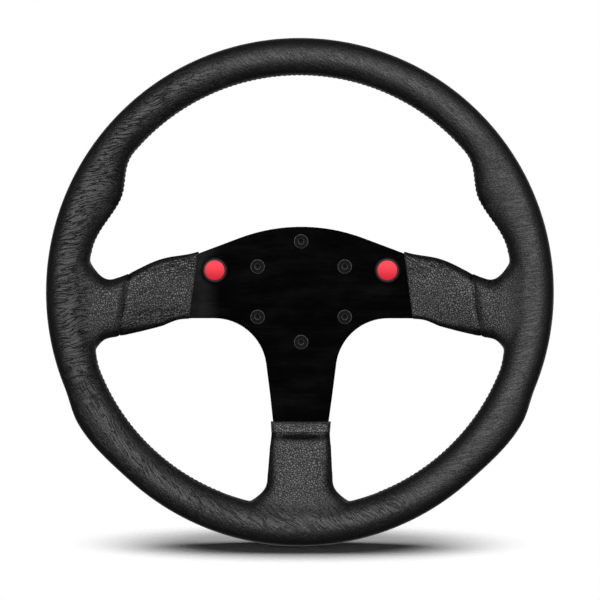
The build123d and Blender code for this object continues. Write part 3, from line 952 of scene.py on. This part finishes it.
# %% The anodised plate, with its smears
dark, light = (0.0006, 0.0006, 0.0007), (0.0016, 0.0016, 0.0018)
anodised = plain_finish("black_anodised", dark, light, 60.0, Roughness=0.6)
tree = anodised.node_tree
place = object_place(tree)
wiped = vector_maths(tree, "MULTIPLY", place, (28.0, 60.0, 110.0))
smears = noise(tree, wiped, 1.0, 6.0, Roughness=0.7)[0]
left_out = maths(tree, "MULTIPLY", add_node(tree, "ShaderNodeSeparateXYZ", {0: place}).outputs[0], -1.0)
# A painted sheen on the left, where the plate bends towards the sleeve and catches light.
painted_bend_sheen = soft_range(tree, left_out, 0.055, 0.07, 0.0, 0.21)
sheen = maths(tree, "MULTIPLY_ADD", painted_bend_sheen, smears, soft_range(tree, smears, 0.38, 0.75, 0.0025, 0.037))
tree.links.new(sheen, tree.nodes["Principled BSDF"].inputs["Specular IOR Level"])

# %% The red caps
red, tree, shader = new_material("red_cap", Roughness=0.5, Specular_IOR_Level=0.12)
place = object_place(tree)
cap_low, cap_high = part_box("left_button_cap")
# Painted highlight: the red is paler towards the top of each cap, as a high lamp lights it.
level = add_node(tree, "ShaderNodeSeparateXYZ", {0: place}).outputs[2]
level = soft_range(tree, level, cap_low.z, cap_high.z)
colour = blend_colours(tree, level, (0.67, 0.015, 0.037), (0.92, 0.062, 0.085))
tree.links.new(colour, shader.inputs["Base Color"])
relief(tree, shader, noise(tree, place, 150.0, 5.0)[0], 0.02 * mm)

# %% Finish the nodes that stay


def soften(name, width, segments):
    """Joins a node's triangles and rounds its edges."""
    piece = nodes[name]
    weld = piece.modifiers.new("weld", "WELD")
    weld.merge_threshold = 0.01 * mm
    bevel = piece.modifiers.new("edge", "BEVEL")
    bevel.width = width
    bevel.segments = segments
    bevel.limit_method = "ANGLE"
    bevel.angle_limit = math.radians(38)
    bevel.harden_normals = True
    piece.data.shade_smooth()


# The finish, the rounding of the edges in millimetres, and its steps, or none
looks = {
    "spoke_plate": (anodised, 0.25, 2),
    "rim_ring": (aluminium, None, 0),
    "spoke_rivets": (aluminium, None, 0),
    "button_gaskets": (rubber, None, 0),
    "button_washers": (zinc, 0.1, 2),
    "button_nuts": (zinc, 0.25, 2),
}
for side in ("left", "right"):
    looks[f"{side}_button_cap"] = (red, 0.35, 4)
    looks[f"{side}_button_bezel"] = (moulded, 0.2, 3)
    looks[f"{side}_button_trim_ring"] = (grey_ring, 0.2, 3)
    looks[f"{side}_button_base"] = (moulded, 0.15, 2)
    looks[f"{side}_button_terminals"] = (brass, None, 0)
for name, (material, rounding, steps) in looks.items():
    wear(nodes[name], material)
    if rounding:
        soften(name, rounding * mm, steps)
print("finished nodes:", len(looks))

# %% [markdown]
# ## The contact springs
# Behind each cap lies an arched brass strip, which gives way as the cap is pressed. A node of the
# frame keeps its shape, so a copy stands for it.

# %% Copies of the springs, with their triangles joined
springs = {}
for side in ("left", "right"):
    solid = nodes[f"{side}_contact_spring"]
    shape = bmesh.new()
    shape.from_mesh(solid.data)
    shape.transform(solid.matrix_world)
    bmesh.ops.remove_doubles(shape, verts=shape.verts, dist=0.01 * mm)
    mesh = bpy.data.meshes.new(f"{side}_contact_strip")
    shape.to_mesh(mesh)
    shape.free()
    springs[side] = new_object(f"{side}_contact_strip", mesh)
    face_outwards(springs[side])
    mesh.shade_smooth()
    mesh.set_sharp_from_angle(angle=math.radians(35))
    wear(springs[side], brass)
print("spring faces:", len(springs["left"].data.polygons))

# %% [markdown]
# ## What moves with what
# The whole wheel is one body, and each red cap is a body of its own that slides in its housing.
# Every new piece rides on the wheel, and all but the hem and the stitches stand for the plain solid
# under them.

# %% Tie the pieces to the frame
for piece in (rim_cover, hem, stitches, screws, *sleeves.values()):
    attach(piece, "wheel")
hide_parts("rim_leather", "rim_padding")
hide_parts("right_spoke_leather")
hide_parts("left_spoke_leather")
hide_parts("hub_screws")
for side, spring in springs.items():
    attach(spring, "wheel")
    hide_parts(f"{side}_contact_spring")
    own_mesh(spring)

# %% [markdown]
# ## Floor, light and camera
# A black object is drawn by what it reflects. A large soft lamp beside the camera gives the broad
# highlight along the rim, and the surroundings are dark, so the sides stay black. The floor is
# pale under a lamp of its own, keeps the soft shadow and fades to the white behind it. It slopes up
# away from the camera, because a level floor would be seen edge on from straight ahead.

# %% Floor
floor_slope, floor_half, floor_gap = math.tan(math.radians(12.0)), 2.0, 0.4 * mm
fade_from, fade_to = 0.07, 0.165
floor_mesh = bpy.data.meshes.new("floor")
floor_corners = [
    (x * floor_half, y * floor_half, cad_low.z - floor_gap + (y * floor_half + dish) * floor_slope)
    for x, y in ((-1, -1), (1, -1), (1, 1), (-1, 1))
]
floor_mesh.from_pydata(floor_corners, [], [(0, 1, 2, 3)])
floor = new_object("floor", floor_mesh)
floor_finish, tree, shader = new_material(
    "pale_floor", Roughness=1.0, Specular_IOR_Level=0.0, Base_Color=(0.9, 0.9, 0.9, 1)
)
reach = vector_maths(tree, "MULTIPLY_ADD", object_place(tree), (1.0, 3.2, 0.0), (0.0, 0.08, 0.0))
fade = soft_range(tree, vector_maths(tree, "LENGTH", reach), fade_from, fade_to)
clear = add_node(tree, "ShaderNodeBsdfTransparent").outputs[0]
mixed = add_node(tree, "ShaderNodeMixShader", {0: fade, 1: shader.outputs[0], 2: clear}).outputs[0]
tree.links.new(mixed, tree.nodes["Material Output"].inputs["Surface"])
wear(floor, floor_finish)
floor.visible_glossy = False
floor.visible_diffuse = False

# %% World and lamps
dim_strength = 0.02
world = bpy.data.worlds.new("studio")
bpy.context.scene.world = world
world.use_nodes = True
tree = world.node_tree
tree.nodes.clear()
rays = add_node(tree, "ShaderNodeLightPath").outputs
heading = add_node(tree, "ShaderNodeTexCoord").outputs["Generated"]
behind = add_node(tree, "ShaderNodeSeparateXYZ", {0: heading}).outputs[1]
dim = soft_range(tree, behind, 0.8, 0.97, dim_strength, 1.0)
strength = maths(tree, "MAXIMUM", dim, rays["Is Camera Ray"])
sky = add_node(tree, "ShaderNodeBackground", {"Color": (1, 1, 1, 1), "Strength": strength})
add_node(tree, "ShaderNodeOutputWorld", {"Surface": sky.outputs[0]})


def lamp(name, place, width, height, watts, floor_state):
    """A soft rectangular lamp aimed at the rim's centre, with the floor left out or lit alone."""
    light = bpy.data.lights.new(name, "AREA")
    light.shape = "RECTANGLE"
    light.size, light.size_y = width, height
    light.energy = watts
    holder = new_object(name, light)
    holder.location = place
    aim = Vector((0, -dish, 0)) - Vector(place)
    holder.rotation_euler = aim.to_track_quat("-Z", "Y").to_euler()
    lit = bpy.data.collections.new(name)
    lit.objects.link(floor)
    holder.light_linking.receiver_collection = lit
    lit.collection_objects[0].light_linking.link_state = floor_state


lamp("front_softbox", (0.1, -2.7, 0.75), 7.0, 4.2, 205, "EXCLUDE")
lamp("floor_softbox", (0, 0.2, 1.2), 0.86, 0.66, 11.5, "INCLUDE")

# %% Camera
camera_distance = 3.0
camera_turn, camera_rise = math.radians(2.3), math.radians(0.7)
picture_size = 600.0
rim_centre_pixel, rim_radius_pixels = (299.37, 292.18), 254.27
metres_per_pixel = rim_outer / rim_radius_pixels
right_of_rim = (picture_size / 2 - rim_centre_pixel[0]) * metres_per_pixel
above_rim = (rim_centre_pixel[1] - picture_size / 2) * metres_per_pixel
aim = Vector((right_of_rim, -dish, above_rim))
level_part = math.cos(camera_rise)
back = Vector(
    (math.sin(camera_turn) * level_part, -math.cos(camera_turn) * level_part, math.sin(camera_rise))
)
camera = new_object("camera", bpy.data.cameras.new("camera"))
camera.location = aim + back * camera_distance
camera.rotation_euler = (-back).to_track_quat("-Z", "Y").to_euler()
half_view = math.atan(picture_size / 2 * metres_per_pixel / camera_distance)
camera.data.sensor_width = 36
camera.data.lens = 18 / math.tan(half_view)
bpy.context.scene.camera = camera
bpy.context.scene.view_settings.view_transform = "Standard"
print("camera lens", round(camera.data.lens, 1))
